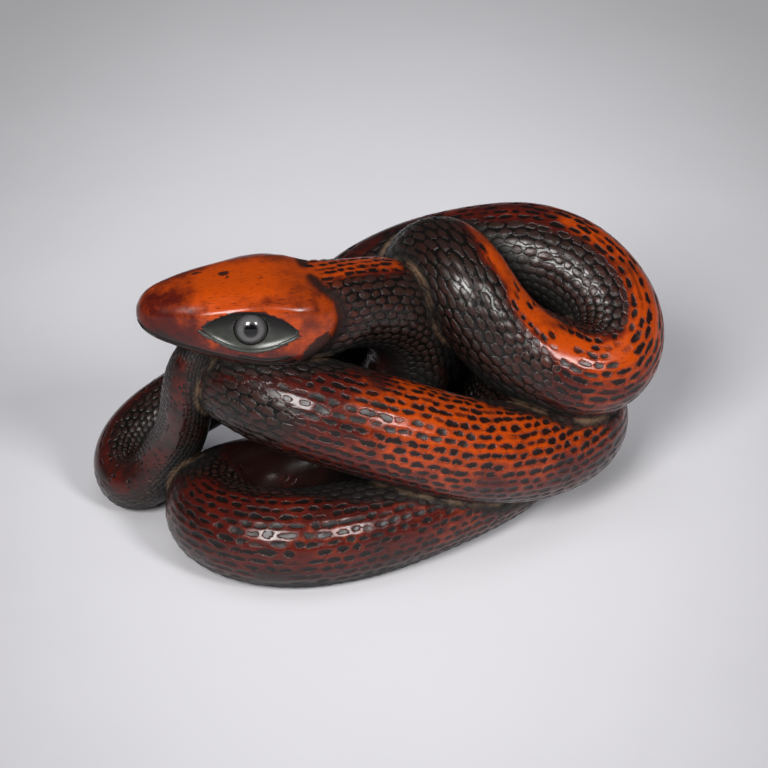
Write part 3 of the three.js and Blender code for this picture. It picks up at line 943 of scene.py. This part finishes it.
class Finish:
    """A node material, with short names for the nodes that the finishes use."""

    def __init__(self, name):
        self.material = bpy.data.materials.new(name)
        self.material.use_nodes = True
        self.tree = self.material.node_tree
        self.shader = self.tree.nodes["Principled BSDF"]

    def node(self, kind, **settings):
        made = self.tree.nodes.new(kind)
        for key, value in settings.items():
            setattr(made, key, value)
        return made

    def feed(self, socket, value):
        if isinstance(value, bpy.types.NodeSocket):
            self.tree.links.new(value, socket)
        elif value is not None:
            socket.default_value = value

    def maths(self, operation, first, second=None, third=None):
        made = self.node("ShaderNodeMath", operation=operation)
        for socket, value in zip(made.inputs, (first, second, third)):
            self.feed(socket, value)
        return made.outputs[0]

    def times(self, first, second):
        return self.maths("MULTIPLY", first, second)

    def plus(self, first, second):
        return self.maths("ADD", first, second)

    def minus(self, first, second):
        return self.maths("SUBTRACT", first, second)

    def scaled(self, value, factor, offset):
        return self.maths("MULTIPLY_ADD", value, factor, offset)

    def length(self, along, across):
        squares = self.plus(self.maths("POWER", along, 2.0), self.maths("POWER", across, 2.0))
        return self.maths("SQRT", squares)

    def step(self, low, high, value):
        made = self.node("ShaderNodeMapRange", interpolation_type="SMOOTHSTEP")
        self.feed(made.inputs["Value"], value)
        self.feed(made.inputs["From Min"], low)
        self.feed(made.inputs["From Max"], high)
        return made.outputs["Result"]

    def blend(self, amount, first, second):
        made = self.node("ShaderNodeMix", data_type="RGBA")
        self.feed(made.inputs["Factor"], amount)
        self.feed(made.inputs[6], first)
        self.feed(made.inputs[7], second)
        return made.outputs[2]

    def layer(self, name):
        return self.node("ShaderNodeAttribute", attribute_name=name).outputs["Fac"]

    def noise(self, vector, scale, detail=3.0, roughness=0.55):
        made = self.node("ShaderNodeTexNoise")
        self.feed(made.inputs["Vector"], vector)
        made.inputs["Scale"].default_value = scale
        made.inputs["Detail"].default_value = detail
        made.inputs["Roughness"].default_value = roughness
        return made.outputs["Fac"]


def rgba(colour):
    return (*colour, 1.0)


def stained_wood(stain):
    """Boxwood stained orange and red, black in its pits and grooves, darkened with stain and painted shade in
    its creases and hollows, dusty in its creases, lacquered over.
    """
    wood = Finish("stained_lacquered_wood")
    place = wood.node("ShaderNodeTexCoord").outputs["Object"]
    lattice = wood.node("ShaderNodeUVMap", uv_map="lattice").outputs["UV"]
    split = wood.node("ShaderNodeSeparateXYZ")
    wood.feed(split.inputs[0], lattice)
    u, v = split.outputs[0], split.outputs[1]
    row = wood.maths("FLOOR", wood.plus(v, 0.5))
    shifted = wood.scaled(wood.maths("FLOORED_MODULO", row, 2.0), 0.5, u)
    column = wood.maths("FLOOR", wood.plus(shifted, 0.5))
    dx = wood.minus(shifted, column)
    dy = wood.minus(v, row)
    turn = wood.scaled(column, 1.7, wood.times(row, 2.9))
    chance = wood.maths("FRACT", wood.times(wood.maths("SINE", turn), 43.0))

    def reach(stretch_x, stretch_y):
        return wood.length(wood.times(dx, stretch_x), wood.times(dy, stretch_y))

    fine = wood.noise(place, 1300.0, 4.0, 0.65)
    ragged = wood.times(wood.minus(fine, 0.5), 1.7)
    turned = wood.maths("FRACT", wood.times(chance, 7.0))
    along = wood.times(wood.scaled(turned, 0.2, wood.minus(dx, 0.1)),
                       wood.scaled(turned, -1.4, 3.3))
    across = wood.times(wood.scaled(chance, 0.22, wood.minus(dy, 0.11)),
                        wood.scaled(chance, 1.5, 2.7))
    sized = wood.length(along, across)
    ragged_pit = wood.scaled(ragged, 1.45, sized)
    pit = wood.step(1.25, 0.8, ragged_pit)
    halo = wood.step(2.3, 1.0, ragged_pit)
    groove = wood.step(0.66, 1.0, wood.plus(reach(1.95, 1.95), ragged))
    pitting, beading = wood.layer("pitting"), wood.layer("beading")
    crevice_stain_and_shade, dust = wood.layer("crevice_stain_and_shade"), wood.layer("dust")
    socket = wood.step(0.02, 0.25, wood.layer("socket"))
    shown = wood.step(0.0, 0.25, wood.scaled(chance, -0.85, pitting))
    pit = wood.times(pit, shown)

    broad = wood.noise(place, 210.0, 4.0)
    mottle = wood.noise(place, 900.0, 5.0, 0.65)
    warmth = wood.scaled(wood.minus(broad, 0.5), 1.15, wood.layer("warmth"))
    warmth = wood.scaled(wood.minus(mottle, 0.5), 0.7, warmth)
    deep = wood.blend(wood.step(0.05, 0.45, warmth), rgba(stain.brown), rgba(stain.red))
    body = wood.blend(wood.step(0.4, 0.95, warmth), deep, rgba(stain.orange))
    streaks = wood.node("ShaderNodeMapping")
    streaks.inputs["Scale"].default_value = (1.0, 7.0, 1.0)
    wood.feed(streaks.inputs["Vector"], lattice)
    grain = wood.noise(streaks.outputs[0], 1.3, 5.0, 0.7)
    body = wood.blend(wood.times(wood.step(0.56, 0.74, grain), 0.55), body, rgba(stain.red))
    flecks = wood.node("ShaderNodeMapping")
    flecks.inputs["Scale"].default_value = (1.6, 6.5, 1.0)
    wood.feed(flecks.inputs["Vector"], lattice)
    fleck = wood.step(0.6, 0.66, wood.noise(flecks.outputs[0], 1.0, 2.0, 0.6))
    body = wood.blend(wood.times(fleck, 0.65), body, rgba(stain.brown))
    worn = wood.noise(place, 130.0, 4.0)
    body = wood.blend(wood.times(wood.step(0.55, 0.7, worn), 0.5), body, rgba(stain.brown))
    haloed = wood.blend(wood.times(wood.times(halo, shown), 0.42), body, rgba(stain.red))
    net = wood.blend(wood.times(pit, 0.97), haloed, rgba(stain.black))
    raised = wood.blend(wood.scaled(chance, 0.3, 0.12), rgba(stain.umber), body)
    beads = wood.blend(groove, raised, rgba(stain.black))
    scales = wood.blend(beading, net, beads)
    # Darkened towards black by the layer of stain and painted shade in creases, hollows and cuts.
    painted_shade_and_stain = wood.times(wood.step(0.12, 0.85, wood.scaled(ragged, 0.25, crevice_stain_and_shade)), 0.92)
    shaded = wood.blend(painted_shade_and_stain, scales, rgba(stain.black))
    grimy = wood.times(dust, wood.step(0.35, 0.62, wood.noise(place, 420.0, 4.0)))
    dusty = wood.blend(wood.times(grimy, 0.75), shaded, rgba(stain.dust))
    # The socket's grey-green lining turns black where painted shade falls: under the brow, at the almond's
    # points and in the eye's seat.
    lining = wood.blend(wood.noise(place, 700.0), rgba((0.015, 0.017, 0.014)), rgba((0.085, 0.09, 0.078)))
    lined = wood.blend(wood.minus(1.0, crevice_stain_and_shade), rgba(stain.black), lining)
    wood.feed(wood.shader.inputs["Base Color"], wood.blend(socket, dusty, lined))
    polish = wood.scaled(pit, 0.1, wood.scaled(mottle, 0.2, 0.13))
    dull = wood.maths("MAXIMUM", grimy, crevice_stain_and_shade)
    wood.feed(wood.shader.inputs["Roughness"], wood.scaled(dull, 0.4, polish))
    wood.shader.inputs["Specular IOR Level"].default_value = 0.42

    hollow = wood.blend(beading, pit, groove)
    depth = wood.scaled(hollow, -0.8, wood.times(fine, 0.12))
    bump = wood.node("ShaderNodeBump")
    bump.inputs["Strength"].default_value = 0.7
    bump.inputs["Distance"].default_value = 0.1 * MM
    wood.feed(bump.inputs["Height"], depth)
    wood.feed(wood.shader.inputs["Normal"], bump.outputs[0])
    return wood.material


def polished_horn(eyes):
    """Grey translucent horn with a dark pupil, under a clear polish."""
    horn = Finish("polished_grey_horn")
    split = horn.node("ShaderNodeSeparateXYZ")
    horn.feed(split.inputs[0], horn.node("ShaderNodeUVMap", uv_map="dome").outputs["UV"])
    away = split.outputs[0]
    place = horn.node("ShaderNodeTexCoord").outputs["Object"]
    pupil = horn.step(eyes.pupil_radius / eyes.radius + 0.1, eyes.pupil_radius / eyes.radius - 0.12, away)
    rim = horn.step(0.66, 1.0, away)
    cloudy = horn.blend(horn.noise(place, 900.0), rgba([0.6 * c for c in eyes.iris]), rgba(eyes.iris))
    iris = horn.blend(rim, cloudy, rgba((0.03, 0.03, 0.03)))
    horn.feed(horn.shader.inputs["Base Color"], horn.blend(pupil, iris, rgba((0.003, 0.003, 0.004))))
    horn.shader.inputs["Roughness"].default_value = 0.12
    horn.shader.inputs["Coat Weight"].default_value = 0.15
    horn.shader.inputs["Coat Roughness"].default_value = 0.03
    return horn.material


# The eyes.


# Heights of the eye's dome and plug over the skin, the bevel of its foot, and how far up the pupil looks.
DOME_TOP = 0.25
DOME_FOOT = -0.9
PLUG_FOOT = -1.9
PLUG_EDGE = 0.1
PUPIL_RISE = 0.3


class NETSUKE_OT_eyes(bpy.types.Operator):
    """Turn the two inlaid eyes: round plugs with a polished dome, seated in the head."""

    bl_idname = "netsuke.eyes"
    bl_label = "Inlay the eyes"

    def execute(self, context):
        eyes = context.scene.netsuke_eyes
        body = Body()
        finish = polished_horn(eyes)
        for node, side in (("left_eye", -1), ("right_eye", 1)):
            radius = eyes.radius / MM
            shell = bmesh.new()
            turns = np.linspace(0, math.pi / 2, 17)
            arc = [(radius * math.cos(t), DOME_FOOT + (DOME_TOP - DOME_FOOT) * math.sin(t)) for t in turns]
            foot = [(0.0, PLUG_FOOT), (radius - PLUG_EDGE, PLUG_FOOT), (radius, PLUG_FOOT + PLUG_EDGE)]
            profile = [*foot, *arc[:-1], (0.0, DOME_TOP)]
            points = [shell.verts.new((x, 0, z)) for x, z in profile]
            edges = [shell.edges.new(pair) for pair in zip(points, points[1:])]
            bmesh.ops.spin(shell, geom=points + edges, cent=(0, 0, 0), axis=(0, 0, 1), angle=2 * math.pi,
                           steps=48, use_merge=True)
            bmesh.ops.remove_doubles(shell, verts=shell.verts, dist=1e-4)
            bmesh.ops.recalc_face_normals(shell, faces=shell.faces)
            dome = shell.loops.layers.uv.new("dome")
            for face in shell.faces:
                face.smooth = True
                for loop in face.loops:
                    x, y, z = loop.vert.co
                    loop[dome].uv = (math.hypot(x, y - PUPIL_RISE * side) / radius, z)
            bmesh.ops.transform(shell, matrix=Matrix.Scale(MM, 4) @ eye_frame(body, side), verts=shell.verts)
            mesh = finished_mesh(shell, node + "_inlay")
            piece = add_object(context, node + "_inlay", mesh)
            mesh.materials.append(finish)
            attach(piece, "root")
            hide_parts(node)
        return {"FINISHED"}


# The stage.


CAMERA_AZIMUTH = math.radians(-24)
CAMERA_HEIGHT = math.radians(30)
CAMERA_AIM = Vector((-1.74, -4.46, 16.17)) * MM
# Middle and reach of the pool of light painted into the floor's colour.
LIGHT_POOL = Vector((8.4, 18.4, 0)) * MM
LIGHT_POOL_REACH = (38 * MM, 77 * MM, 1)


def direction(azimuth, height):
    """The way from the object to something at an azimuth and a height."""
    level = math.cos(height)
    return Vector((math.sin(azimuth) * level, -math.cos(azimuth) * level, math.sin(height)))


def add_light(context, name, azimuth, height, distance, size, power, colour, mirrored=True):
    """A soft square lamp turned to the object."""
    lamp = bpy.data.lights.new(name, "AREA")
    lamp.shape = "RECTANGLE"
    lamp.size, lamp.size_y = size
    lamp.energy = power
    lamp.color = colour
    holder = bpy.data.objects.new(name, lamp)
    away = direction(math.radians(azimuth), math.radians(height))
    holder.location = CAMERA_AIM + away * distance
    holder.visible_glossy = mirrored
    holder.rotation_euler = away.to_track_quat("Z", "Y").to_euler()
    context.scene.collection.objects.link(holder)


class NETSUKE_OT_stage(bpy.types.Operator):
    """Set the floor with a pool of light painted into its colour, the lamps and the camera."""

    bl_idname = "netsuke.stage"
    bl_label = "Set the stage"

    def execute(self, context):
        stage = context.scene.netsuke_stage
        shell = bmesh.new()
        bmesh.ops.create_grid(shell, x_segments=8, y_segments=8, size=2.0)
        bmesh.ops.translate(shell, vec=(0, 0, -0.02 * MM), verts=shell.verts)
        mesh = finished_mesh(shell, "studio_floor")
        floor = add_object(context, "studio_floor", mesh)
        # The floor's colour holds a painted pool of light: pale round the netsuke, darker further away.
        paper = Finish("pale_paper_painted_light_pool")
        place = paper.node("ShaderNodeTexCoord").outputs["Object"]
        pool = paper.node("ShaderNodeMapping", vector_type="TEXTURE")
        pool.inputs["Location"].default_value = LIGHT_POOL
        pool.inputs["Rotation"].default_value = (0, 0, CAMERA_AZIMUTH)
        pool.inputs["Scale"].default_value = LIGHT_POOL_REACH
        paper.feed(pool.inputs["Vector"], place)
        away = paper.node("ShaderNodeVectorMath", operation="LENGTH")
        paper.feed(away.inputs[0], pool.outputs[0])
        light_pool_falloff = paper.scaled(paper.noise(place, 60.0, 4.0), 0.12, away.outputs["Value"])
        tint = rgba(stage.floor_tint)
        far = rgba([0.55 * c for c in stage.floor_tint])
        paper.feed(paper.shader.inputs["Base Color"], paper.blend(paper.step(0.6, 2.0, light_pool_falloff), tint, far))
        paper.shader.inputs["Roughness"].default_value = 0.9
        mesh.materials.append(paper.material)

        add_light(context, "window_left", -44, 36, 1.0, (0.32, 0.36), 8.6, (1.0, 0.985, 0.97))
        add_light(context, "window_right", 14, 35, 1.0, (0.22, 0.28), 4.6, (1.0, 0.99, 0.98))
        add_light(context, "ceiling", -24, 84, 1.6, (1.1, 1.1), 4.9, (0.95, 0.965, 1.0), mirrored=False)
        world = bpy.data.worlds.new("studio_air")
        world.use_nodes = True
        world.node_tree.nodes["Background"].inputs["Color"].default_value = (0.86, 0.88, 0.95, 1)
        world.node_tree.nodes["Background"].inputs["Strength"].default_value = 0.05
        context.scene.world = world
        context.scene.view_settings.view_transform = "Standard"

        lens = bpy.data.cameras.new("studio_camera")
        lens.lens = stage.focal_length
        lens.sensor_width = 36
        lens.clip_start, lens.clip_end = 0.01, 20
        camera = bpy.data.objects.new("studio_camera", lens)
        away = direction(CAMERA_AZIMUTH, CAMERA_HEIGHT)
        camera.location = CAMERA_AIM + away * stage.camera_distance
        camera.rotation_euler = away.to_track_quat("Z", "Y").to_euler()
        context.scene.collection.objects.link(camera)
        context.scene.camera = camera
        return {"FINISHED"}


class NETSUKE_PT_panel(bpy.types.Panel):
    """The netsuke's steps and settings."""

    bl_idname = "NETSUKE_PT_panel"
    bl_label = "Coiled snake netsuke"
    bl_space_type = "VIEW_3D"
    bl_region_type = "UI"
    bl_category = "Netsuke"

    def draw(self, context):
        for operator in OPERATORS:
            self.layout.operator(operator.bl_idname)
        for label, group in GROUPS.items():
            box = self.layout.box()
            settings = getattr(context.scene, label)
            for name in group.__annotations__:
                box.prop(settings, name)


OPERATORS = (NETSUKE_OT_stage, NETSUKE_OT_carving, NETSUKE_OT_eyes)
GROUPS = {
    "snake_carving": SnakeCarvingSettings,
    "snake_stain": SnakeStainSettings,
    "netsuke_eyes": EyeSettings,
    "netsuke_stage": StageSettings,
}


def register():
    for each in (*GROUPS.values(), *OPERATORS, NETSUKE_PT_panel):
        bpy.utils.register_class(each)
    for label, group in GROUPS.items():
        setattr(bpy.types.Scene, label, bpy.props.PointerProperty(type=group))


def unregister():
    for label in GROUPS:
        delattr(bpy.types.Scene, label)
    for each in reversed((*GROUPS.values(), *OPERATORS, NETSUKE_PT_panel)):
        bpy.utils.unregister_class(each)


def main():
    register()
    bpy.ops.netsuke.stage()
    bpy.ops.netsuke.carving()
    bpy.ops.netsuke.eyes()


if __name__ == "__main__":
    main()
